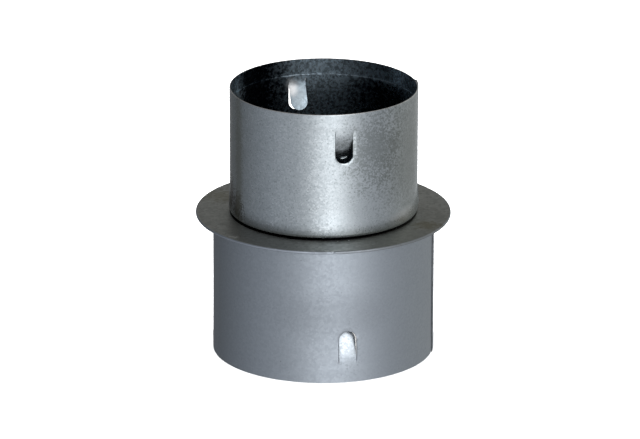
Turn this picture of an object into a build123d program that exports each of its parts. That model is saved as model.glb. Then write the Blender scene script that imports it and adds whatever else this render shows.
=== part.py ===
"""Duct reducer rolled from galvanised sheet: a narrow socket and a wide one, joined by a flat ring.

Millimetres, +Z up, origin at the centre of the wide collar's foot. Bearings are degrees about +Z,
counted from the front (-Y) towards +X.
"""
import os
from math import atan, ceil, cos, degrees, radians, sin

from build123d import *

# Sheet and fits
SHEET = 0.5
DUCT_UPPER = 110.0
DUCT_LOWER = 130.0
SOCKET_PLAY = 1.0
LAYER_GAP = 0.05
HOLE_PLAY = 0.2

# The most that one crease turns, in the bends that forming rolls make
CREASE_TURN = 45.0

# Heights and widths
LOWER_HEIGHT = 85.8
UPPER_HEIGHT = 77.5
RING_DIAMETER = 152.4

# Widened mouth of each socket
MOUTH_DEPTH = 8.9
LEDGE_HEIGHT = 1.4
LEDGE_STEP = 0.15

# Shoulder, neck and lip that hold the upper collar in the ring
SHOULDER_PROUD = 0.65
SWELL_HEIGHT = 15.7
SHOULDER_RADIUS = 2.27
ROOT_RADIUS = 0.7
SHOULDER_TURN = 75.0
NECK_RISE = 0.4
LIP_BEND = 0.5
LIP_WIDTH = 5.5

# Flange of the lower collar and the ring's hem, which covers this share of the ring's overhang
FLANGE_BEND = 1.05
HEM_SHARE = 0.5

# Lanced tongues
TONGUE_WIDTH = 10.6
TONGUE_LENGTH = 20.1
TONGUE_TURN = 24.0
TONGUE_CURL = 8.0
KERF = 0.15
UPPER_TIP_DEPTH = 30.5
LOWER_TIP_DEPTH = 31.7
UPPER_TONGUE_BEARINGS = (12.7, 196.0)
LOWER_TONGUE_BEARINGS = (13.1, 196.0)

# Lap seams with their row of spot welds
LAP_WIDTH = 10.0
LAP_PROUD = 0.6
LAP_SINK = 0.02
JOGGLE = 2.4
UPPER_LAP_BEARING = 94.0
LOWER_LAP_BEARING = 80.0
WELD_PITCH = 13.2
WELD_WIDTH = 3.6
WELD_DEPTH = 0.22
WELD_MARGIN = 9.0

# Handling nick in the ring's front edge
NICK_BEARING = 4.3
NICK_SLANT = 45.0
NICK_WIDTH = 3.0
NICK_DEPTH = 0.35

# Radii of the sheet's middle, and levels, worked out from the sizes above
upper_mouth = (DUCT_UPPER + SOCKET_PLAY + SHEET) / 2
upper_body = upper_mouth - LEDGE_STEP
lower_mouth = (DUCT_LOWER + SOCKET_PLAY + SHEET) / 2
lower_body = lower_mouth - LEDGE_STEP
ring_radius = RING_DIAMETER / 2
rim_level = LOWER_HEIGHT + UPPER_HEIGHT

layer_step = SHEET + LAYER_GAP
ring_middle = LOWER_HEIGHT - SHEET / 2
flange_middle = ring_middle - layer_step
fold_centre = ring_radius - layer_step - SHEET / 2
hem_width = HEM_SHARE * (ring_radius - lower_body - SHEET / 2)

shoulder_middle = upper_body + SHOULDER_PROUD
shoulder_inset = (ROOT_RADIUS + SHOULDER_RADIUS) * (1 - cos(radians(SHOULDER_TURN)))
neck_middle = shoulder_middle - shoulder_inset
neck_top = LOWER_HEIGHT + NECK_RISE
shoulder_level = neck_top + (ROOT_RADIUS + SHOULDER_RADIUS) * sin(radians(SHOULDER_TURN))


def onward(path, length):
    """A straight run that leaves the end of a path along its direction."""
    end = path @ 1
    return Line(end, end + (path % 1) * length)


def bend(path, radius, turn):
    """A bend that leaves the end of a path tangentially; a positive turn goes left."""
    return JernArc(path @ 1, path % 1, radius, turn)


def straight(edge):
    """Whether an edge of a path is a straight run."""
    return edge.geom_type == GeomType.LINE


def creases(arc):
    """Where the straight runs of a creased bend meet; each run touches the round bend at its middle."""
    turn = (arc % 0).get_angle(arc % 1)
    count = ceil(round(turn / CREASE_TURN, 3))
    centre = arc.arc_center
    spread = 1 / cos(radians(turn / count / 2))
    return [centre + (arc @ ((k + 0.5) / count) - centre) * spread for k in range(count)]


def corners(edges):
    """Corners of a path in straight runs: its two ends, its sharp corners and its bends' creases."""
    points = [edges[0] @ 0]
    for edge, following in zip(edges, [*edges[1:], None]):
        if not straight(edge):
            points.extend(creases(edge))
        elif following is not None and straight(following):
            points.append(edge @ 1)
    return [*points, edges[-1] @ 1]


def rolled(edges):
    """A path with its bends creased."""
    return Polyline(*corners(edges))


def spun(path, arc=360.0):
    """Sheet whose middle follows a path of radius against height, spun about the axis."""
    section = Plane.XZ * trace(path, line_width=SHEET)
    return revolve(section, Axis.Z, revolution_arc=arc)


def turned(shape, bearing):
    """A shape made on the +X side, carried round to a bearing."""
    return Rot(0, 0, bearing - 90.0) * shape


def upper_barrel(outset=0.0, extra=0.0):
    """Path up the upper tube, from the shoulder's widest ring to the rim."""
    turn = 2 * atan(SHOULDER_PROUD / SWELL_HEIGHT)
    radius = SWELL_HEIGHT / (2 * sin(turn))
    start = Vector(shoulder_middle + outset, shoulder_level)
    swell_in = JernArc(start, (0, 1), radius, degrees(turn))
    swell_out = bend(swell_in, radius, -degrees(turn))
    ledge_low = Vector(upper_body + outset, rim_level - MOUTH_DEPTH - LEDGE_HEIGHT)
    ledge_high = Vector(upper_mouth + outset, rim_level - MOUTH_DEPTH)
    rim = Vector(upper_mouth + outset, rim_level + extra)
    body = Line(swell_out @ 1, ledge_low)
    return [swell_in, swell_out, body, Line(ledge_low, ledge_high), Line(ledge_high, rim)]


def upper_base():
    """Path of the lip, the neck and the rounded shoulder, up to the shoulder's widest ring."""
    lip_start = Vector(neck_middle + LIP_BEND + LIP_WIDTH, flange_middle)
    lip = Line(lip_start, Vector(neck_middle + LIP_BEND, flange_middle))
    lip_bend = bend(lip, LIP_BEND, -90.0)
    neck = onward(lip_bend, neck_top - flange_middle - LIP_BEND)
    root = bend(neck, ROOT_RADIUS, -SHOULDER_TURN)
    shoulder = bend(root, SHOULDER_RADIUS, SHOULDER_TURN)
    return [lip, lip_bend, neck, root, shoulder]


def lower_barrel(outset=0.0):
    """Path up the lower tube, from its foot to the level where the flange's bend starts."""
    foot = Vector(lower_mouth + outset, 0)
    ledge_low = Vector(lower_mouth + outset, MOUTH_DEPTH)
    ledge_high = Vector(lower_body + outset, MOUTH_DEPTH + LEDGE_HEIGHT)
    top = Vector(lower_body + outset, flange_middle - FLANGE_BEND)
    return [Line(foot, ledge_low), Line(ledge_low, ledge_high), Line(ledge_high, top)]


def lower_flange(barrel_top):
    """Path of the flange turned out at the lower tube's top, up to the fold of the ring's hem."""
    turn = bend(barrel_top, FLANGE_BEND, -90.0)
    return [turn, onward(turn, fold_centre - lower_body - FLANGE_BEND)]


def lance_outline(width, length, tip):
    """Outline of a tongue: straight sides up from the hinge, and a rounded free end."""
    half = width / 2
    shoulder = length - tip
    right = Line((half, 0), (half, shoulder))
    end = EllipticalCenterArc((0, shoulder), half, tip, start_angle=0, arc_size=180)
    left = Line((-half, shoulder), (-half, 0))
    hinge = Line((-half, 0), (half, 0))
    return make_face([right, end, left, hinge])


def lance_prism(outline, bearing, hinge_level, reach, upwards):
    """A tongue's outline cut from the axis outwards through one side of a tube."""
    out = Vector(sin(radians(bearing)), -cos(radians(bearing)), 0)
    side = Vector(cos(radians(bearing)), sin(radians(bearing)), 0)
    place = Plane(origin=(0, 0, hinge_level), x_dir=side, z_dir=out)
    facing = outline if upwards else Rot(0, 0, 180) * outline
    return extrude(place * facing, amount=reach)


def pressed_tongue(middle, bearing, hinge_level, reach, upwards):
    """A tongue bent inwards: it curls near its hinge and runs straight to a rounded end."""
    way = 1 if upwards else -1
    curl = JernArc((middle, hinge_level), (0, way), TONGUE_CURL / radians(TONGUE_TURN), way * TONGUE_TURN)
    blade = onward(curl, TONGUE_LENGTH - TONGUE_CURL - KERF)
    drop = abs((blade @ 1).Y - hinge_level)
    tip = (TONGUE_WIDTH / 2 - KERF) * cos(radians(TONGUE_TURN))
    outline = lance_outline(TONGUE_WIDTH - 2 * KERF, drop, tip)
    sweep = degrees(TONGUE_WIDTH / (middle - TONGUE_LENGTH / 2))
    band = turned(spun(Wire([curl, blade]), arc=sweep), bearing - sweep / 2)
    return band & lance_prism(outline, bearing, hinge_level, reach, upwards)


def lanced(wall, middle, bearing, hinge_level, upwards):
    """A tube with one tongue cut free on three sides and pressed inwards about its hinge."""
    reach = middle + TONGUE_LENGTH
    hole = lance_outline(TONGUE_WIDTH, TONGUE_LENGTH, TONGUE_WIDTH / 2)
    cut = wall - lance_prism(hole, bearing, hinge_level, reach, upwards)
    return cut + pressed_tongue(middle, bearing, hinge_level, reach, upwards)


def lap_layer(edges, radius):
    """The outer layer of a lap seam: crisp in front, sloping down to the wall at its far side."""
    width = LAP_WIDTH / radius
    slope = JOGGLE / radius
    layer = spun(rolled(edges), arc=degrees(width))
    crest = Vector(cos(width - slope), sin(width - slope), 0) * (radius + SHEET)
    heel = Vector(cos(width), sin(width), 0) * radius
    beyond = Vector(cos(width), sin(width), 0) * (radius + JOGGLE)
    top = (edges[-1] @ 1).Y + SHEET
    wedge = extrude(make_face(Polyline(crest, heel, beyond, close=True)), amount=top)
    return layer - wedge


def weld_dimples(surface, bearing, low, high):
    """Balls that press a row of shallow spot-weld dimples down a seam."""
    ball = (WELD_WIDTH**2 / 4 + WELD_DEPTH**2) / (2 * WELD_DEPTH)
    count = int((high - low) / WELD_PITCH) + 1
    start = (low + high - (count - 1) * WELD_PITCH) / 2
    reach = surface + ball - WELD_DEPTH
    return [turned(Pos(reach, 0, start + k * WELD_PITCH) * Sphere(ball), bearing) for k in range(count)]


def seamed(wall, edges, radius, bearing, low, high):
    """A tube with its lap seam laid on and spot-welded."""
    layer = turned(lap_layer(edges, radius), bearing)
    middle_bearing = bearing + degrees(LAP_WIDTH / radius) / 2
    closed = wall + layer
    for ball in weld_dimples(radius + SHEET - LAP_SINK, middle_bearing, low, high):
        closed = closed - ball
    return closed


def upper_collar():
    """Narrow socket with its clinched base."""
    wall = spun(rolled(upper_base() + upper_barrel()))
    edges = upper_barrel(SHEET - LAP_SINK, LAP_PROUD)
    surface = upper_body + SHEET / 2
    swell_top = shoulder_level + SWELL_HEIGHT
    wall = seamed(wall, edges, surface, UPPER_LAP_BEARING, swell_top, rim_level - WELD_MARGIN)
    hinge = rim_level - UPPER_TIP_DEPTH + TONGUE_LENGTH
    for bearing in UPPER_TONGUE_BEARINGS:
        wall = lanced(wall, upper_body, bearing, hinge, upwards=False)
    return wall


def flange_ring():
    """Flat ring, hemmed down and back at its edge, with a nick in front."""
    hole = neck_middle + SHEET / 2 + HOLE_PLAY
    top = Line((hole, ring_middle), (fold_centre, ring_middle))
    fold = bend(top, layer_step, -180.0)
    hem = onward(fold, fold_centre - ring_radius + hem_width)
    ring = spun(rolled([top, fold, hem]))
    ball = (NICK_WIDTH**2 / 4 + NICK_DEPTH**2) / (2 * NICK_DEPTH)
    out = ring_radius + (ball - NICK_DEPTH) * cos(radians(NICK_SLANT))
    up = LOWER_HEIGHT - SHEET + (ball - NICK_DEPTH) * sin(radians(NICK_SLANT))
    return ring - turned(Pos(out, 0, up) * Sphere(ball), NICK_BEARING)


def lower_collar():
    """Wide socket with the flange that the ring's hem holds."""
    barrel = lower_barrel()
    wall = spun(rolled(barrel + lower_flange(barrel[-1])))
    surface = lower_body + SHEET / 2
    bend_level = flange_middle - FLANGE_BEND
    edges = lower_barrel(SHEET - LAP_SINK)
    wall = seamed(wall, edges, surface, LOWER_LAP_BEARING, WELD_MARGIN, bend_level - WELD_MARGIN)
    hinge = LOWER_TIP_DEPTH - TONGUE_LENGTH
    for bearing in LOWER_TONGUE_BEARINGS:
        wall = lanced(wall, lower_body, bearing, hinge, upwards=True)
    return wall


os.makedirs("parts", exist_ok=True)
pieces = {"upper_collar": upper_collar(), "flange_ring": flange_ring(), "lower_collar": lower_collar()}
for name, piece in pieces.items():
    export_step(piece, f"parts/{name}.step")
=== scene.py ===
"""Duct reducer of galvanised sheet: two rolled sockets held by a flat hemmed ring, on a pale floor.

Metres in Blender. Sizes are written in millimetres and bearings in degrees about +Z, counted from
the front (-Y) towards +X.
"""
from math import atan2, cos, degrees, hypot, log, pi, radians, sin

import bmesh
import bpy
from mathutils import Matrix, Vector


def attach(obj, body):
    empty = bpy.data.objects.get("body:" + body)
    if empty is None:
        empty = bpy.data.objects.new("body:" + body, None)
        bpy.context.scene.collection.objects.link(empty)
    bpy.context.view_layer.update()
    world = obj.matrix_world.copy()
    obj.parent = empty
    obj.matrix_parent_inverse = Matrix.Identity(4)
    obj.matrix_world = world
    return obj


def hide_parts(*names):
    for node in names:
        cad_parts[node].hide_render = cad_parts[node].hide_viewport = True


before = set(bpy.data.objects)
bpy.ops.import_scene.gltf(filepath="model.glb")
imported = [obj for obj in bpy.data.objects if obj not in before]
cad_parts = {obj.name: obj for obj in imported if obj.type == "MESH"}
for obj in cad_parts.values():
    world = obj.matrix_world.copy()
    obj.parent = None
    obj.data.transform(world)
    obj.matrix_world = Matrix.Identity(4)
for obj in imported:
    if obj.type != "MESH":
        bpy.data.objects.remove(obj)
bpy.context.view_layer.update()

MM = 0.001


# ---------------------------------------------------------------- camera
# A long lens from in front and above. It looks at the ring, which lies a little right of and above
# the middle of the image.
VIEW_LEVEL = 85.8
VIEW_DISTANCE = 3465
VIEW_DOWN = 18.9
VIEW_ROLL = 0.2
LENS = 326.2
IMAGE_WIDTH = 640
MOVE_RIGHT = 3.3
MOVE_UP = 9.7

bpy.ops.object.camera_add(
    location=(0, -VIEW_DISTANCE * cos(radians(VIEW_DOWN)) * MM,
              (VIEW_LEVEL + VIEW_DISTANCE * sin(radians(VIEW_DOWN))) * MM),
    rotation=(radians(90 - VIEW_DOWN), 0, 0))
camera = bpy.context.object
camera.name = "photo_camera"
camera.rotation_euler.rotate_axis("Z", radians(VIEW_ROLL))
camera.data.lens = LENS
camera.data.shift_x = -MOVE_RIGHT / IMAGE_WIDTH
camera.data.shift_y = -MOVE_UP / IMAGE_WIDTH
bpy.context.scene.camera = camera
bpy.context.scene.view_settings.view_transform = "Standard"


# ---------------------------------------------------------------- light
# A photographer's tent: soft panels round the object, a bright one low in front, and a small and
# brighter one high at the front right, which the tilted tongues mirror. The floor has a lamp of its own.
def linear(code):
    """A colour written as sRGB hex, as linear RGBA."""
    parts = [int(code[k:k + 2], 16) / 255 for k in (1, 3, 5)]
    return [p / 12.92 if p <= 0.04045 else ((p + 0.055) / 1.055) ** 2.4 for p in parts] + [1.0]


def add(tree, kind, inputs=None, **settings):
    """Adds a node with its settings; an input is given a value, or the output that feeds it."""
    made = tree.nodes.new("ShaderNode" + kind)
    for name, value in settings.items():
        setattr(made, name, value)
    for key, value in (inputs or {}).items():
        if isinstance(value, bpy.types.NodeSocket):
            tree.links.new(value, made.inputs[key])
        else:
            made.inputs[key].default_value = value
    return made


def facing(bearing, elevation=0.0):
    """Unit vector at a bearing and an elevation."""
    flat = cos(radians(elevation))
    return Vector((sin(radians(bearing)) * flat, -cos(radians(bearing)) * flat, sin(radians(elevation))))


world = bpy.data.worlds.new("light_tent")
bpy.context.scene.world = world
world.use_nodes = True
sky = world.node_tree
sky.nodes.clear()
way = add(sky, "TexCoord").outputs["Generated"]
height = add(sky, "VectorMath", {0: way, 1: (0, 0, 1)}, operation="DOT_PRODUCT").outputs["Value"]
# Between the panels the tent is nearly black above, and dim below the horizon.
TENT_ABOVE = 0.02
TENT_BELOW = 0.09
TENT_DARK_FROM = 0.3
TENT_DIM_FROM = -0.1
TENT_COLOUR = "#E8ECEF"
tent = add(sky, "MapRange", {"Value": height, "From Min": TENT_DARK_FROM, "From Max": TENT_DIM_FROM,
                             "To Min": TENT_ABOVE, "To Max": TENT_BELOW}, interpolation_type="SMOOTHSTEP")
light = add(sky, "Background", {"Color": linear(TENT_COLOUR), "Strength": tent.outputs[0]})
# Each panel: bearing, elevation, how far from its middle it is half as bright, strength, colour
PANELS = [
    (10, -18, 18, 0.82, "#FFFFFF"),
    (9, -18, 50, 0.37, "#F6F9FF"),
    (10, 5, 14, 0.7, "#F2F8FF"),
    (8, 19, 20, 0.36, "#F4FBFF"),
    (-66, -18, 40, 0.21, "#E9F1FF"),
    (62, -18, 40, 0.155, "#F0F4FF"),
    (136, -18, 40, 0.17, "#FBFBFA"),
    (175, -18, 14, 0.30, "#FFFFFF"),
    (118, 19, 30, 0.30, "#F6FAF4"),
    (180, 20, 30, 0.155, "#F6F8F6"),
    (0, 90, 30, 0.35, "#FFFFFF"),
    (0, -90, 33, 0.24, "#FFFFFF"),
    (26, 25, 13, 1.8, "#FFFFFF"),
]
for bearing, elevation, half_width, strength, colour in PANELS:
    towards = add(sky, "VectorMath", {0: way, 1: facing(bearing, elevation)}, operation="DOT_PRODUCT")
    lit = add(sky, "Math", {0: towards.outputs["Value"], 1: 0.0}, operation="MAXIMUM")
    falloff = log(0.5) / log(cos(radians(half_width)))
    spread = add(sky, "Math", {0: lit.outputs[0], 1: falloff}, operation="POWER")
    level = add(sky, "Math", {0: spread.outputs[0], 1: strength}, operation="MULTIPLY")
    panel = add(sky, "Background", {"Color": linear(colour), "Strength": level.outputs[0]})
    light = add(sky, "AddShader", {0: light.outputs[0], 1: panel.outputs[0]})
add(sky, "OutputWorld", {"Surface": light.outputs[0]})

LAMP_HEIGHT = 5000
LAMP_WIDTH = 8000
LAMP_POWER = 900
bpy.ops.object.light_add(type="AREA", location=(0, 0, LAMP_HEIGHT * MM))
lamp = bpy.context.object
lamp.name = "floor_lamp"
lamp.data.shape = "DISK"
lamp.data.size = LAMP_WIDTH * MM
lamp.data.energy = LAMP_POWER
lamp.visible_glossy = False
lamp.visible_camera = False


# ---------------------------------------------------------------- floor
# A sheet of matt white background board, which the metal doesn't mirror. Inside the foot a near-black
# disc is painted shade: it stands for the board in the duct's own shade, and the metal above does mirror
# it.
FLOOR_WIDTH = 14000
SHADE_RADIUS = 65.2
SHADE_LIFT = 0.3

bpy.ops.mesh.primitive_plane_add(size=FLOOR_WIDTH * MM)
floor = bpy.context.object
floor.name = "studio_floor"
floor.visible_glossy = False
board = bpy.data.materials.new("matt_white_board")
board.use_nodes = True
coating = board.node_tree.nodes["Principled BSDF"]
coating.inputs["Base Color"].default_value = linear("#F4F4F4")
coating.inputs["Roughness"].default_value = 1.0
coating.inputs["Specular IOR Level"].default_value = 0.0
floor.data.materials.append(board)

bpy.ops.mesh.primitive_circle_add(vertices=96, radius=SHADE_RADIUS * MM, fill_type="NGON",
                                  location=(0, 0, SHADE_LIFT * MM))
shade = bpy.context.object
shade.name = "floor_in_shade"
shade.visible_camera = False
shade.visible_diffuse = False
shade.visible_shadow = False
# The disc's near-black colour is painted shade.
painted_shade_board = board.copy()
painted_shade_board.name = "matt_white_board_in_shade"
painted_shade_board.node_tree.nodes["Principled BSDF"].inputs["Base Color"].default_value = linear("#101114")
shade.data.materials.append(painted_shade_board)


# ---------------------------------------------------------------- lower collar
# A strip of hot-dip galvanised steel sheet, rolled into a tube and closed by a spot-welded lap seam on
# the right. Its mouth is widened, two tongues are lanced and pressed in, and its top is turned out
# into a flange.
SHEET = 0.5
# How finely the wall is drawn, and how near two places are that count as one
COLUMN_TURN = 1.25
ROW_HEIGHT = 1.25
SMOOTH_BELOW = 32
NEAR = 0.01


def place(bearing, radius, level):
    """A point in metres from a bearing, and a radius and a level in millimetres."""
    return facing(bearing) * radius * MM + Vector((0, 0, level * MM))


def choose(test):
    """Selects the vertices in edit mode that pass a test."""
    mesh = bmesh.from_edit_mesh(bpy.context.object.data)
    for vertex in mesh.verts:
        vertex.select = bool(test(vertex))
    mesh.select_flush_mode()
    bmesh.update_edit_mesh(bpy.context.object.data)


def bearing_of(vertex):
    return degrees(atan2(vertex.co.x, -vertex.co.y)) % 360


def radius_of(vertex):
    return vertex.co.xy.length / MM


def level_of(vertex):
    return vertex.co.z / MM


def start_profile(name, start):
    """A new object in edit mode that is one vertex."""
    bpy.ops.object.select_all(action="DESELECT")
    bpy.ops.mesh.primitive_plane_add(size=MM, enter_editmode=True)
    bpy.context.object.name = name
    bpy.context.tool_settings.mesh_select_mode = (True, False, False)
    bpy.ops.mesh.merge(type="CENTER")
    bpy.ops.transform.translate(value=start)


def draw_on(bearing, points):
    """Extrudes the chosen vertex, now at the first point, along points of radius against level."""
    for (radius, level), (next_radius, next_level) in zip(points, points[1:]):
        step = place(bearing, next_radius - radius, next_level - level)
        bpy.ops.mesh.extrude_vertices_move(TRANSFORM_OT_translate={"value": step})


def round_off(spot, reach, steps):
    """Rounds a corner of a drawn line; the bend starts at this reach from the corner."""
    choose(lambda vertex: (vertex.co - spot).length < NEAR * MM)
    bpy.ops.mesh.bevel(offset=reach * MM, offset_type="OFFSET", segments=steps, affect="VERTICES")


def rows(start, end):
    """Points of radius against level down a straight wall, about a row apart."""
    count = max(1, round(abs(end[1] - start[1]) / ROW_HEIGHT))
    return [tuple(a + (b - a) * k / count for a, b in zip(start, end)) for k in range(count + 1)]


def sweep(turn):
    """Sweeps the chosen edges about the tube's axis towards higher bearings."""
    steps = max(1, round(turn / COLUMN_TURN))
    bpy.ops.mesh.spin(steps=steps, angle=-radians(turn), center=(0, 0, 0), axis=(0, 0, 1),
                      use_auto_merge=False)


def apply_modifier(kind, **settings):
    """Adds a modifier to the active object and applies it."""
    modifier = bpy.context.object.modifiers.new(kind.lower(), kind)
    for name, value in settings.items():
        setattr(modifier, name, value)
    bpy.ops.object.modifier_apply(modifier=modifier.name)


def make_active(piece):
    bpy.ops.object.select_all(action="DESELECT")
    piece.select_set(True)
    bpy.context.view_layer.objects.active = piece


LAP_TURN = 8.0
LAP_GAP = 0.02
JOGGLE_TURN = 2.4
JOGGLE_STEPS = 4


def rolled_tube(name, bearing, wall, base, bends, rise=0.0):
    """A strip rolled round until its outer end laps over its inner one from a bearing on.

    wall runs from the mouth's rim to where base goes on, both along the sheet's middle. bends are
    base's corners that are rounded: corner, reach, steps. rise lifts the outer end's rim.
    """
    outer = SHEET + LAP_GAP
    lapped = [(radius + outer, level) for radius, level in wall]
    lapped[0] = (lapped[0][0], lapped[0][1] + rise)
    start_profile(name, place(bearing, *lapped[0]))
    draw_on(bearing, lapped)
    bpy.ops.mesh.select_all(action="SELECT")
    sweep(LAP_TURN)
    here = bearing + LAP_TURN
    middle = wall[len(wall) // 2][0]
    for step in range(JOGGLE_STEPS):
        here += JOGGLE_TURN / JOGGLE_STEPS
        sweep(JOGGLE_TURN / JOGGLE_STEPS)
        before, after = (outer * (0.5 + 0.5 * cos(pi * k / JOGGLE_STEPS)) for k in (step, step + 1))
        shrink = (middle + after) / (middle + before)
        bpy.ops.transform.resize(value=(shrink, shrink, 1), center_override=(0, 0, 0))
        choose(lambda vertex: abs(bearing_of(vertex) - here) < NEAR
               and level_of(vertex) > wall[0][1] + NEAR)
        bpy.ops.transform.translate(value=(0, 0, -rise / JOGGLE_STEPS * MM))
        choose(lambda vertex: abs(bearing_of(vertex) - here) < NEAR)
    end = wall[-1][1]
    choose(lambda vertex: abs(bearing_of(vertex) - here) < NEAR and abs(level_of(vertex) - end) < NEAR)
    draw_on(here, base)
    for corner, reach, steps in bends:
        round_off(place(here, *corner), reach, steps)
    choose(lambda vertex: abs(bearing_of(vertex) - here) < NEAR)
    sweep(360 - JOGGLE_TURN)
    beyond = 1 if base[-1][1] > end else -1
    inner_end = bearing + LAP_TURN

    def in_base(vertex):
        """The inner end's last wall point, and all that lies beyond it."""
        past = (level_of(vertex) - end) * beyond
        return past > NEAR or past > -NEAR and radius_of(vertex) < wall[-1][0] + outer / 2

    choose(lambda vertex: abs(bearing_of(vertex) - inner_end) < NEAR and in_base(vertex))
    sweep(JOGGLE_TURN)
    choose(lambda vertex: abs(bearing_of(vertex) - here) < NEAR and in_base(vertex))
    bpy.ops.mesh.remove_doubles(threshold=NEAR * MM)
    bpy.ops.mesh.select_all(action="SELECT")
    bpy.ops.mesh.normals_make_consistent(inside=False)
    bpy.ops.object.mode_set(mode="OBJECT")
    return bpy.context.object


RIPPLE_WIDTH = 50
ripple = bpy.data.textures.new("rolling_ripple", "CLOUDS")
ripple.noise_scale = RIPPLE_WIDTH * MM


def thicken(depth):
    """Gives the drawn sheet the slight ripple that rolling leaves, and its gauge."""
    apply_modifier("DISPLACE", texture=ripple, texture_coords="LOCAL", strength=depth * MM, mid_level=0.5)
    apply_modifier("SOLIDIFY", thickness=SHEET * MM, offset=0, use_even_offset=True)


def cut_away(piece, cutter):
    """Cuts one object's volume from a piece, and removes the cutter."""
    make_active(piece)
    apply_modifier("BOOLEAN", operation="DIFFERENCE", solver="MANIFOLD", object=cutter)
    bpy.data.objects.remove(cutter)


def turn_about(piece, turn):
    """Turns a piece about the tube's axis, so that a positive turn lowers its bearings."""
    make_active(piece)
    bpy.ops.object.mode_set(mode="EDIT")
    bpy.ops.mesh.select_all(action="SELECT")
    bpy.ops.transform.rotate(value=radians(turn), orient_axis="Z", center_override=(0, 0, 0))
    bpy.ops.object.mode_set(mode="OBJECT")


# The slit that the shear leaves, the tongue that it frees, and the opening's edge, which the punch
# rolls in
KERF = 0.12
CUTTER_REACH = 6
TONGUE_WIDTH = 10.6
TONGUE_LENGTH = 20.1
CURL_STEPS = 8
ROLLOVER = 0.35
ROLLOVER_BAND = 0.2
ROLLOVER_START = 1
TIP_ROUND = 0.998
TIP_HEIGHT = 0.62
TIP_SLANT = 0.3


def lance_tongue(piece, middle, bearing, hinge, upwards, turn, curl, tip_turn=0.0):
    """Shears a U through the wall, and presses the tongue inside it inwards about its hinge.

    It turns by turn over its first curl millimetres. tip_turn bends its very end outwards again.
    """
    turn_about(piece, bearing)
    way = 1 if upwards else -1
    half = (TONGUE_WIDTH - KERF) / 2
    tip = hinge + way * (TONGUE_LENGTH - KERF / 2)
    outside = -middle - CUTTER_REACH
    start_profile("shear", Vector((-half, outside, hinge)) * MM)
    for step in ((0, 0, tip - hinge), (2 * half, 0, 0), (0, 0, hinge - tip)):
        bpy.ops.mesh.extrude_vertices_move(TRANSFORM_OT_translate={"value": Vector(step) * MM})
    for side in (-half, half):
        round_off(Vector((side, outside, tip)) * MM, half * TIP_ROUND, 12)
    bpy.ops.mesh.select_all(action="SELECT")
    bpy.ops.mesh.extrude_edges_move(TRANSFORM_OT_translate={"value": (0, 2 * CUTTER_REACH * MM, 0)})
    bpy.ops.mesh.select_all(action="SELECT")
    bpy.ops.mesh.remove_doubles(threshold=NEAR * MM)
    bpy.ops.mesh.normals_make_consistent(inside=False)
    bpy.ops.object.mode_set(mode="OBJECT")
    apply_modifier("SOLIDIFY", thickness=KERF * MM, offset=0)
    cut_away(piece, bpy.data.objects["shear"])

    def off_cut(vertex):
        """How far outside the shear's path a vertex of the wall lies; the tongue is less than 0."""
        across, past = abs(vertex.co.x / MM), way * (level_of(vertex) - tip) + half
        return (across if past < 0 else hypot(across, past)) - half

    def past_hinge(vertex):
        """How far a vertex of the wall in front lies past the hinge, towards the tip."""
        return way * (level_of(vertex) - hinge) if vertex.co.y < 0 else -1

    def in_tongue(vertex):
        return off_cut(vertex) < 0 and past_hinge(vertex) > NEAR

    bpy.ops.object.mode_set(mode="EDIT")
    choose(lambda vertex: 0 < off_cut(vertex) < ROLLOVER_BAND and past_hinge(vertex) > ROLLOVER_START)
    bpy.ops.transform.translate(value=(0, ROLLOVER * MM, 0))
    flat = tip - way * TIP_HEIGHT
    choose(in_tongue)
    bpy.ops.mesh.bisect(plane_co=(0, 0, flat * MM), plane_no=(-TIP_SLANT, 0, 1))
    mesh = bmesh.from_edit_mesh(piece.data)
    levels = {vertex.index: level_of(vertex) for vertex in mesh.verts if in_tongue(vertex)}
    for step in reversed(range(CURL_STEPS)):
        bend = hinge + way * curl * step / CURL_STEPS
        choose(lambda vertex: way * (levels.get(vertex.index, bend) - bend) > NEAR)
        bpy.ops.transform.rotate(value=way * radians(turn / CURL_STEPS), orient_axis="X",
                                 center_override=Vector((0, -middle, bend)) * MM)

    def past_tip_line(vertex):
        return way * (levels.get(vertex.index, hinge) - flat - TIP_SLANT * vertex.co.x / MM)

    mesh = bmesh.from_edit_mesh(piece.data)
    edge = [vertex.co for vertex in mesh.verts if abs(past_tip_line(vertex)) < NEAR]
    pivot = sum(edge, Vector()) / len(edge)
    choose(lambda vertex: past_tip_line(vertex) > NEAR)
    bpy.ops.transform.rotate(value=-way * radians(tip_turn), orient_axis="X",
                             center_override=(0, pivot.y, pivot.z))
    bpy.ops.object.mode_set(mode="OBJECT")
    turn_about(piece, -bearing)


WELD_PITCH = 13.2
WELD_WIDTH = 3.6
WELD_DEPTH = 0.22
WELD_EDGE = 0.2
WELD_MARGIN = 9.0
ELECTRODE_LENGTH = 2
SCORE_WHEEL = 0.5
SCORE_DEPTH = 0.13
SCORE_LEVEL = 9.6


def score(piece, radius, level):
    """Rolls a fine groove round the inside of a wall."""
    bpy.ops.object.select_all(action="DESELECT")
    bpy.ops.mesh.primitive_torus_add(major_segments=288, minor_segments=16, location=(0, 0, level * MM),
                                     major_radius=(radius + SCORE_DEPTH - SCORE_WHEEL) * MM,
                                     minor_radius=SCORE_WHEEL * MM)
    bpy.ops.object.transform_apply(location=True, rotation=True, scale=True)
    cut_away(piece, bpy.context.object)


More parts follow.
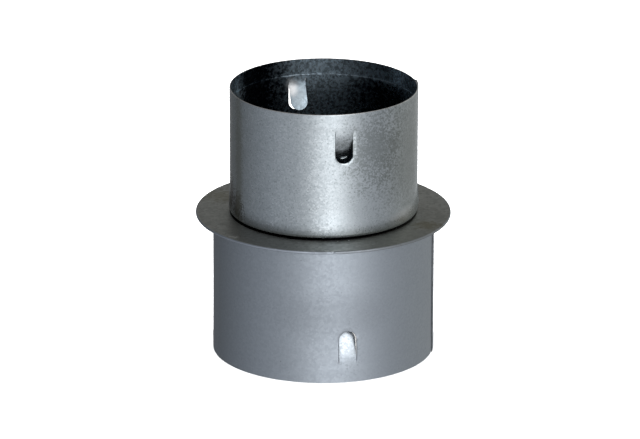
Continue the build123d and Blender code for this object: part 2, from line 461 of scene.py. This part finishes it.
def spot_weld(piece, bearing, surface, low, high):
    """Presses the electrode's shallow dimples down the lap seam, and returns their levels."""
    count = int((high - low) / WELD_PITCH) + 1
    start = (low + high - (count - 1) * WELD_PITCH) / 2
    levels = [start + k * WELD_PITCH for k in range(count)]
    for level in levels:
        bpy.ops.object.select_all(action="DESELECT")
        pressed = place(bearing, surface - WELD_DEPTH + ELECTRODE_LENGTH / 2, level)
        bpy.ops.mesh.primitive_cone_add(vertices=32, radius1=WELD_WIDTH / 2 * MM, radius2=WELD_WIDTH * MM,
                                        depth=ELECTRODE_LENGTH * MM, location=pressed,
                                        rotation=(radians(90), 0, radians(bearing)))
        bpy.ops.object.mode_set(mode="EDIT")
        bpy.ops.mesh.bevel(offset=WELD_EDGE * MM, segments=3, affect="EDGES")
        bpy.ops.object.mode_set(mode="OBJECT")
        bpy.ops.object.transform_apply(location=True, rotation=True, scale=True)
        cut_away(piece, bpy.context.object)
    return levels


def smooth_faces(piece):
    """Shades the rolled faces as one, up to the sheared edges."""
    make_active(piece)
    bpy.ops.object.shade_smooth_by_angle(angle=radians(SMOOTH_BELOW))


MOUTH_DEPTH = 8.9
LEDGE_HEIGHT = 1.4
LOWER_MOUTH_RADIUS = 65.75
LOWER_RADIUS = 65.6
FLANGE_LEVEL = 85.0
FLANGE_BEND = 1.05
FLANGE_END = 75.4
BEND_MARGIN = 0.1
COLLAR_RIPPLE = 0.1
LOWER_SEAM = 80.0
LOWER_TONGUES = (13.1, 196.0)
LOWER_HINGE = 11.6

lower_top = FLANGE_LEVEL - FLANGE_BEND - BEND_MARGIN
lower_wall = (rows((LOWER_MOUTH_RADIUS, 0), (LOWER_MOUTH_RADIUS, MOUTH_DEPTH))
              + rows((LOWER_RADIUS, MOUTH_DEPTH + LEDGE_HEIGHT), (LOWER_RADIUS, lower_top)))
lower_corner = (LOWER_RADIUS, FLANGE_LEVEL)
lower = rolled_tube("lower_collar_sheet", LOWER_SEAM, lower_wall,
                    [lower_wall[-1], lower_corner, (FLANGE_END, FLANGE_LEVEL)],
                    [(lower_corner, FLANGE_BEND, 6)])
thicken(COLLAR_RIPPLE)
score(lower, (LOWER_MOUTH_RADIUS + LOWER_RADIUS - SHEET) / 2, SCORE_LEVEL)
lower_welds = spot_weld(lower, LOWER_SEAM + LAP_TURN / 2, LOWER_RADIUS + LAP_GAP + SHEET * 1.5, WELD_MARGIN,
                        lower_top - WELD_MARGIN)
for bearing in LOWER_TONGUES:
    lance_tongue(lower, LOWER_RADIUS, bearing, LOWER_HINGE, upwards=True, turn=22, curl=6)
smooth_faces(lower)

# Clouds and grain are this many crystals wide, and the grain stands up this many millimetres. Clouds,
# grain and crystals add up to a mottle, which spreads this far either side of its middle.
CLOUD_WIDTH = 12
GRAIN_WIDTH = 0.8
GRAIN_HEIGHT = 0.004
MOTTLE_MIDDLE = 1.5
MOTTLE_SPREAD = 0.6
GLOSS_SPREAD = 0.05
PIT_RADIUS = 0.55
PIT_CORE = 0.2
PIT_COLOUR = "#3A3A36"
PATCH_CORE = 0.2
RUBBED_BREAKUP = 0.1


def galvanised(name, light, dark, crystal, tilt, roughness, grain, specks, marks_and_painted_light=(), tone_or_painted_light=None,
               rubbed=()):
    """Steel sheet dipped in molten zinc, whose crystals are this wide, in millimetres.

    tilt is how much each crystal leans and so mirrors another panel, and grain how softly light and
    dark ones mix. specks is how far apart small dark pits are, and how dark. Each mark, stain or patch
    of painted light or shade is bearing, radius, level, reach across, reach up, colour, strength, and
    how far the mottle breaks up its edge. A tone function may add tones, painted light and painted
    shade of its own. Each rubbed place is the same five sizes, and by how much it is smoother.
    """
    finish = bpy.data.materials.new(name)
    finish.use_nodes = True
    tree = finish.node_tree
    metal = tree.nodes["Principled BSDF"]
    here = add(tree, "TexCoord").outputs["Object"]
    crystals = add(tree, "TexVoronoi", {"Vector": here, "Scale": 1 / (crystal * MM), "Randomness": 1.0})
    facet = add(tree, "SeparateColor", {"Color": crystals.outputs["Color"]}).outputs[0]
    cloud = add(tree, "TexNoise", {"Vector": here, "Scale": 1 / (crystal * CLOUD_WIDTH * MM),
                                   "Detail": 3.0, "Roughness": 0.6}).outputs["Fac"]
    fine = add(tree, "TexNoise", {"Vector": here, "Scale": 1 / (crystal * GRAIN_WIDTH * MM),
                                  "Detail": 4.0, "Roughness": 0.65}).outputs["Fac"]
    mottle = add(tree, "Math", {0: facet, 1: fine}, operation="ADD").outputs[0]
    mottle = add(tree, "Math", {0: mottle, 1: cloud}, operation="ADD").outputs[0]
    lightness = add(tree, "MapRange", {"Value": mottle, "From Min": MOTTLE_MIDDLE - grain,
                                       "From Max": MOTTLE_MIDDLE + grain}).outputs[0]
    colour = add(tree, "Mix", {"Factor": lightness, "A": linear(dark), "B": linear(light)},
                 data_type="RGBA").outputs["Result"]
    spacing, depth = specks
    pits = add(tree, "TexVoronoi", {"Vector": here, "Scale": 1 / (spacing * MM), "Randomness": 1.0})
    pit = add(tree, "MapRange", {"Value": pits.outputs["Distance"], "From Min": PIT_RADIUS / spacing,
                                 "From Max": PIT_CORE / spacing, "To Max": depth}).outputs[0]
    colour = add(tree, "Mix", {"Factor": pit, "A": colour, "B": linear(PIT_COLOUR)},
                 data_type="RGBA").outputs["Result"]
    if tone_or_painted_light:
        colour = tone_or_painted_light(tree, here, colour)

    def patch(bearing, radius, level, across, up, strength, breakup):
        """A soft patch round a place, whose edge follows the mottle."""
        reach = (1 / (across * MM), 1 / (across * MM), 1 / (up * MM))
        moved = add(tree, "VectorMath", {0: here, 1: place(bearing, radius, level)},
                    operation="SUBTRACT").outputs[0]
        scaled = add(tree, "VectorMath", {0: moved, 1: reach}, operation="MULTIPLY").outputs[0]
        away = add(tree, "VectorMath", {0: scaled}, operation="LENGTH").outputs["Value"]
        ragged = add(tree, "Math", {0: mottle, 1: breakup, 2: away}, operation="MULTIPLY_ADD").outputs[0]
        middle = breakup * MOTTLE_MIDDLE
        return add(tree, "MapRange", {"Value": ragged, "From Min": middle + 1,
                                      "From Max": middle + PATCH_CORE, "To Max": strength},
                   interpolation_type="SMOOTHSTEP").outputs[0]

    # Marks and stains, and the patches of painted light and shade among them
    for *where, mark_or_light_colour, strength, breakup in marks_and_painted_light:
        colour = add(tree, "Mix", {"Factor": patch(*where, strength, breakup), "A": colour,
                                   "B": linear(mark_or_light_colour)}, data_type="RGBA").outputs["Result"]
    tree.links.new(colour, metal.inputs["Base Color"])
    metal.inputs["Metallic"].default_value = 1.0
    gloss = add(tree, "MapRange", {"Value": mottle, "From Min": MOTTLE_MIDDLE - MOTTLE_SPREAD,
                                   "From Max": MOTTLE_MIDDLE + MOTTLE_SPREAD,
                                   "To Min": roughness + GLOSS_SPREAD,
                                   "To Max": roughness - GLOSS_SPREAD}).outputs[0]
    for *where, smoother in rubbed:
        gloss = add(tree, "Math", {0: gloss, 1: patch(*where, smoother, RUBBED_BREAKUP)},
                    operation="SUBTRACT").outputs[0]
    tree.links.new(gloss, metal.inputs["Roughness"])
    normal = add(tree, "NewGeometry").outputs["Normal"]
    lean = add(tree, "VectorMath", {0: crystals.outputs["Color"], 1: (0.5, 0.5, 0.5)},
               operation="SUBTRACT").outputs[0]
    lean = add(tree, "VectorMath", {0: lean, 1: (tilt, tilt, tilt), 2: normal},
               operation="MULTIPLY_ADD").outputs[0]
    lean = add(tree, "VectorMath", {0: lean}, operation="NORMALIZE").outputs[0]
    bump = add(tree, "Bump", {"Height": fine, "Strength": 1.0, "Distance": GRAIN_HEIGHT * MM,
                              "Normal": lean}).outputs[0]
    tree.links.new(bump, metal.inputs["Normal"])
    return finish


# Hot-dip galvanised sheet, rolled flat after its dip: an even, bluish satin grey. Its zinc crystals
# are under 0.5 mm, too fine to show, and are drawn 1.2 mm wide. The front is drawn darker in the
# middle, the seam's dark line is painted shade along its lapped edge, and the welds are drawn as dark
# spots. Pressing has left the tongues bright.
# Each mark or painted shade: bearing, radius, level, reach across, reach up, colour, strength, breakup
lower_marks_and_painted_shade = [
    (5, 66, 42, 45, 22, "#A9AFB6", 0.5, 0.08),
    (LOWER_TONGUES[0], 62, 20, 6.5, 14, "#8D9498", 0.3, 1.3),
    # Painted shade: the dark line along the seam's lapped edge.
    (LOWER_SEAM, 66.3, 42, 1.1, 300, "#2A2A2A", 0.8, 0.2),
]
for level in lower_welds:
    lower_marks_and_painted_shade.append((LOWER_SEAM + LAP_TURN / 2, 66.4, level, 3.2, 2.8, "#171412", 1.0, 0.5))
lower.data.materials.clear()
lower.data.materials.append(galvanised(
    "hot_dip_galvanised_steel_satin", light="#CFD6DD", dark="#BEC5CC", crystal=1.2, tilt=0.03,
    roughness=0.51, grain=1.6, specks=(9.0, 0.35), marks_and_painted_light=lower_marks_and_painted_shade,
    rubbed=[(LOWER_TONGUES[0], 62, 21, 9, 18, 0.28)]))
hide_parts("lower_collar")
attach(lower, "root")


# ---------------------------------------------------------------- flange ring
# A flat ring blanked from the same sheet. Its edge is folded down and back round the lower collar's
# flange, and has three small knocks in front.
HOLE_RADIUS = 54.5
RING_LEVEL = 85.55
HEM_LEVEL = 84.45
HEM_INNER = 71.0
RING_EDGE = 75.95
FOLD_RADIUS = 0.28
RING_RIPPLE = 0.06
RING_ROWS = (HOLE_RADIUS, 58.5, 62.5, 66.5, 70.5, RING_EDGE)
# Each knock: bearing, radius of what hit the edge, depth
KNOCKS = ((4.3, 2.5, 0.35), (-21, 3.5, 0.2), (38, 4.0, 0.2))

start_profile("flange_ring_sheet", place(0, HOLE_RADIUS, RING_LEVEL))
draw_on(0, [(radius, RING_LEVEL) for radius in RING_ROWS]
        + [(RING_EDGE, HEM_LEVEL), (HEM_INNER, HEM_LEVEL)])
for level in (RING_LEVEL, HEM_LEVEL):
    round_off(place(0, RING_EDGE, level), FOLD_RADIUS, 5)
bpy.ops.mesh.select_all(action="SELECT")
sweep(360)
bpy.ops.mesh.select_all(action="SELECT")
bpy.ops.mesh.remove_doubles(threshold=NEAR * MM)
bpy.ops.mesh.normals_make_consistent(inside=False)
bpy.ops.object.mode_set(mode="OBJECT")
ring = bpy.context.object
thicken(RING_RIPPLE)
for bearing, size, depth in KNOCKS:
    bpy.ops.object.select_all(action="DESELECT")
    struck = place(bearing, RING_EDGE + SHEET / 2 + size - depth, RING_LEVEL)
    bpy.ops.mesh.primitive_uv_sphere_add(segments=24, ring_count=16, radius=size * MM, location=struck)
    bpy.ops.object.transform_apply(location=True, rotation=True, scale=True)
    cut_away(ring, bpy.context.object)
smooth_faces(ring)

# Near-black painted shade for crevices that light hardly reaches.
CREVICE_SHADE = "#0A0B0C"


def ring_tone_and_shade(tree, here, colour):
    """A cleaner and bluer folded edge, painted shade on the underside, and black painted shade in the
    crevice round the hole.
    """
    flat = add(tree, "VectorMath", {0: here, 1: (1, 1, 0)}, operation="MULTIPLY").outputs[0]
    out = add(tree, "VectorMath", {0: flat}, operation="LENGTH").outputs["Value"]
    level = add(tree, "SeparateXYZ", {0: here}).outputs["Z"]
    # After the edge's tint come painted shade under the hem and painted shade round the hole.
    for along, start, full, strength, tone_or_painted_light, ease in (
            (out, 75.5, 76.0, 1.0, "#CDD4DD", "LINEAR"),
            (level, 84.55, 84.35, 0.85, "#33383D", "LINEAR"),
            (out, 56.3, 55.7, 1.0, CREVICE_SHADE, "SMOOTHSTEP")):
        share = add(tree, "MapRange", {"Value": along, "From Min": start * MM, "From Max": full * MM,
                                       "To Max": strength}, interpolation_type=ease).outputs[0]
        colour = add(tree, "Mix", {"Factor": share, "A": colour, "B": linear(tone_or_painted_light)},
                     data_type="RGBA").outputs["Result"]
    return colour


# Hot-dip galvanised sheet, handled and stained: a dull, warm grey with crystals of 2 mm that hardly
# stand out, and brown where oil has dried on it. Three small white patches are painted highlights: a
# glint where the edge waves on the left, and two dots by the hole in front.
ring_marks_and_painted_light = [
    (66, 67.5, 85.8, 11, 11, "#85794F", 0.7, 0.5),
    (-112, 68, 85.8, 16, 12, "#97927B", 0.5, 0.5),
    # A painted highlight: a glint where the edge waves.
    (-47, 73.5, 85.8, 3.5, 2, "#F4F4F0", 0.7, 0.9),
    (9, 66, 85.8, 20, 9, "#8E9498", 0.5, 0.3),
    (50, 66, 85.8, 80, 12, "#8E8E86", 0.5, 0.1),
    # Two painted highlights: shiny dots by the hole.
    (8.6, 57.6, 85.8, 0.8, 1, "#FFFFFF", 1.0, 0.2),
    (15.2, 57.6, 85.8, 0.8, 1, "#FFFFFF", 1.0, 0.2),
]
ring.data.materials.clear()
ring.data.materials.append(galvanised(
    "hot_dip_galvanised_steel_stained", light="#C1C2BE", dark="#A3A5A1", crystal=2.0, tilt=0.06,
    roughness=0.46, grain=0.9, specks=(6.0, 0.4), marks_and_painted_light=ring_marks_and_painted_light, tone_or_painted_light=ring_tone_and_shade))
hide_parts("flange_ring")
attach(ring, "root")


# ---------------------------------------------------------------- upper collar
# A narrower strip of the same galvanised sheet, with clearer crystals. Above its lip and neck, which
# hold it in the ring, the wall bulges into a rounded shoulder. Its two tongues point downwards.
UPPER_MOUTH_RADIUS = 55.75
UPPER_RADIUS = 55.6
RIM_LEVEL = 163.3
SHOULDER_RADIUS = 56.25
SHOULDER_LEVEL = 89.12
SHOULDER_FOOT = 87.327
SHOULDER_BEND = 1.742
SWELL_HEIGHT = 15.7
SWELL_ROWS = 12
NECK_RADIUS = 54.05
NECK_LEVEL = 86.737
NECK_BEND = 0.53
LIP_LEVEL = 85.0
LIP_END = 60.05
LIP_BEND = 0.5
UPPER_SEAM = 94.0
SEAM_RISE = 0.6
# Each tongue: bearing, level of its hinge, turn of its tip outwards
UPPER_TONGUES = ((12.7, 152.9, 42), (197.0, 152.0, 0))
RIM_ROUND = 0.3
RIM_MARGIN = 1

swell = []
for step in range(SWELL_ROWS + 1):
    share = step / SWELL_ROWS
    bulge = 2 * share ** 2 if share < 0.5 else 1 - 2 * (1 - share) ** 2
    swell.append((UPPER_RADIUS + (SHOULDER_RADIUS - UPPER_RADIUS) * bulge,
                  SHOULDER_LEVEL + SWELL_HEIGHT * (1 - share)))
mouth_low = RIM_LEVEL - MOUTH_DEPTH
upper_wall = (rows((UPPER_MOUTH_RADIUS, RIM_LEVEL), (UPPER_MOUTH_RADIUS, mouth_low))
              + rows((UPPER_RADIUS, mouth_low - LEDGE_HEIGHT), swell[0]) + swell[1:])
shoulder_corner = (SHOULDER_RADIUS, SHOULDER_FOOT)
neck_corner = (NECK_RADIUS, NECK_LEVEL)
lip_corner = (NECK_RADIUS, LIP_LEVEL)
upper = rolled_tube("upper_collar_sheet", UPPER_SEAM, upper_wall,
                    [upper_wall[-1], shoulder_corner, neck_corner, lip_corner, (LIP_END, LIP_LEVEL)],
                    [(shoulder_corner, SHOULDER_BEND, 9), (neck_corner, NECK_BEND, 4),
                     (lip_corner, LIP_BEND, 4)], rise=SEAM_RISE)
thicken(COLLAR_RIPPLE)
# The shears leave the rim's outer edge round, except where the seam laps.
bpy.ops.object.mode_set(mode="EDIT")
lap_end = UPPER_SEAM + LAP_TURN + JOGGLE_TURN
choose(lambda vertex: level_of(vertex) > RIM_LEVEL - NEAR and radius_of(vertex) > UPPER_MOUTH_RADIUS
       and not UPPER_SEAM - RIM_MARGIN < bearing_of(vertex) < lap_end + RIM_MARGIN)
bpy.ops.mesh.bevel(offset=RIM_ROUND * MM, segments=4, affect="EDGES")
bpy.ops.object.mode_set(mode="OBJECT")
score(upper, (UPPER_MOUTH_RADIUS + UPPER_RADIUS - SHEET) / 2, RIM_LEVEL - SCORE_LEVEL)
upper_welds = spot_weld(upper, UPPER_SEAM + LAP_TURN / 2, UPPER_RADIUS + LAP_GAP + SHEET * 1.5,
                        SHOULDER_LEVEL + SWELL_HEIGHT, RIM_LEVEL - WELD_MARGIN)
for bearing, hinge, tip_turn in UPPER_TONGUES:
    lance_tongue(upper, UPPER_RADIUS, bearing, hinge, upwards=False, turn=24, curl=8, tip_turn=tip_turn)
smooth_faces(upper)

BLUISH_SHARE = 0.4
# How wide the blotches of the painted shade inside are
INNER_BLOTCH_WIDTH = 2.2


def upper_tone_and_light(tree, here, colour):
    """Black painted shade in the crevice under the shoulder, and a bare cut rim painted white as a
    highlight.
    Inside, the zinc is still bluish under blotchy painted shade, which is thickest on the left and low on
    the right."""
    split = add(tree, "SeparateXYZ", {0: here}).outputs
    flat = add(tree, "VectorMath", {0: here, 1: (1, 1, 0)}, operation="MULTIPLY").outputs[0]
    outward = add(tree, "VectorMath", {0: flat}, operation="NORMALIZE").outputs[0]
    normal = add(tree, "NewGeometry").outputs["Normal"]
    facing_out = add(tree, "VectorMath", {0: outward, 1: normal},
                     operation="DOT_PRODUCT").outputs["Value"]
    inside = add(tree, "MapRange", {"Value": facing_out, "From Min": -0.3, "From Max": -0.6}).outputs[0]
    bluish = add(tree, "Math", {0: inside, 1: BLUISH_SHARE}, operation="MULTIPLY").outputs[0]
    across = add(tree, "Math", {0: split["X"]}, operation="ABSOLUTE").outputs[0]
    share = {}
    for name, along, start, full, strength, ease in (
            ("left", split["X"], -18, -38, 0.9, "LINEAR"),
            ("right", split["X"], 12, 32, 1.0, "LINEAR"),
            ("low", split["Z"], 156, 148, 0.8, "LINEAR"),
            ("ends", across, 51, 46, 1.0, "LINEAR"),
            ("rim", split["Z"], 162.95, 163.05, 1.0, "LINEAR"),
            ("shoulder_shade", split["Z"], 87.35, 86.7, 1.0, "SMOOTHSTEP")):
        share[name] = add(tree, "MapRange", {"Value": along, "From Min": start * MM, "From Max": full * MM,
                                             "To Max": strength}, interpolation_type=ease).outputs[0]
    inner_blotches = add(tree, "TexNoise", {"Vector": here, "Scale": 1 / (INNER_BLOTCH_WIDTH * MM), "Detail": 4.0,
                                    "Roughness": 0.7}).outputs["Fac"]
    blotch = add(tree, "MapRange", {"Value": inner_blotches, "From Min": 0.44, "From Max": 0.58,
                                    "To Max": 0.6}).outputs[0]
    painted_inner_shade = add(tree, "Math", {0: share["right"], 1: share["low"], 2: share["left"]},
               operation="MULTIPLY_ADD").outputs[0]
    painted_inner_shade = add(tree, "Math", {0: painted_inner_shade, 1: share["ends"], 2: blotch}, operation="MULTIPLY_ADD",
               use_clamp=True).outputs[0]
    painted_inner_shade = add(tree, "Math", {0: painted_inner_shade, 1: inside}, operation="MULTIPLY").outputs[0]
    # These paint a bluish inside, painted shade inside, a white painted highlight on the rim, and black
    # painted shade under the shoulder.
    for factor, tone_or_painted_light in ((bluish, "#B4D8F0"), (painted_inner_shade, "#17222C"), (share["rim"], "#FFFFFF"),
                         (share["shoulder_shade"], CREVICE_SHADE)):
        colour = add(tree, "Mix", {"Factor": factor, "A": colour, "B": linear(tone_or_painted_light)},
                     data_type="RGBA").outputs["Result"]
    return colour


# Hot-dip galvanised sheet, left as it set: glossier, with a lively fine mottle, since each zinc crystal
# is light or dark as it leans. They are about 0.5 mm, too fine to show, and are drawn 0.9 mm wide.
# There are brown burns at the foot on the left. The olive tints on both sides are a painted reflection of
# the surroundings, and the seam's dark line is painted shade along its lapped edge. White patches are
# painted highlights, low on the right and on the rear tongue, which is drawn darker round its
# highlight. The welds are drawn as dark spots.
upper_marks_and_painted_light = [
    (-78, 56, 99, 9, 17, "#4A4038", 0.8, 0.5),
    (-66, 56, 95, 10, 13, "#4E443C", 0.85, 0.6),
    # These three olive tints are a painted reflection of the surroundings.
    (-64, 56, 125, 7, 90, "#9C9C8C", 0.5, 0.3),
    (34, 56, 140, 24, 30, "#6F746C", 0.45, 0.9),
    (62, 56, 130, 30, 60, "#8B8D84", 0.42, 0.4),
    # A painted highlight low on the right, where the wall swells out.
    (60, 56, 92.5, 20, 6, "#FFFFFF", 0.6, 0.4),
    # The rear tongue is drawn darker, with a painted highlight on it.
    (197, 51, 143, 9, 15, "#A8B3BA", 1.0, 0.1),
    (201, 53, 147, 5.5, 8, "#FFFFFF", 1.0, 0.1),
    # Painted shade: the dark line along the seam's lapped edge.
    (UPPER_SEAM, 56.4, 125, 0.9, 300, "#2A2A2A", 0.7, 0.2),
]
for level in upper_welds:
    upper_marks_and_painted_light.append((UPPER_SEAM + LAP_TURN / 2, 56.4, level, 2.8, 2.8, "#2B2724", 0.9, 0.5))
upper.data.materials.clear()
upper.data.materials.append(galvanised(
    "hot_dip_galvanised_steel_spangled", light="#DCE2E5", dark="#C3CBCE", crystal=0.9, tilt=0.042,
    roughness=0.31, grain=0.8, specks=(2.2, 0.3), marks_and_painted_light=upper_marks_and_painted_light, tone_or_painted_light=upper_tone_and_light,
    rubbed=[(182, 55, 158, 42, 24, -0.15)]))
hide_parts("upper_collar")
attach(upper, "root")
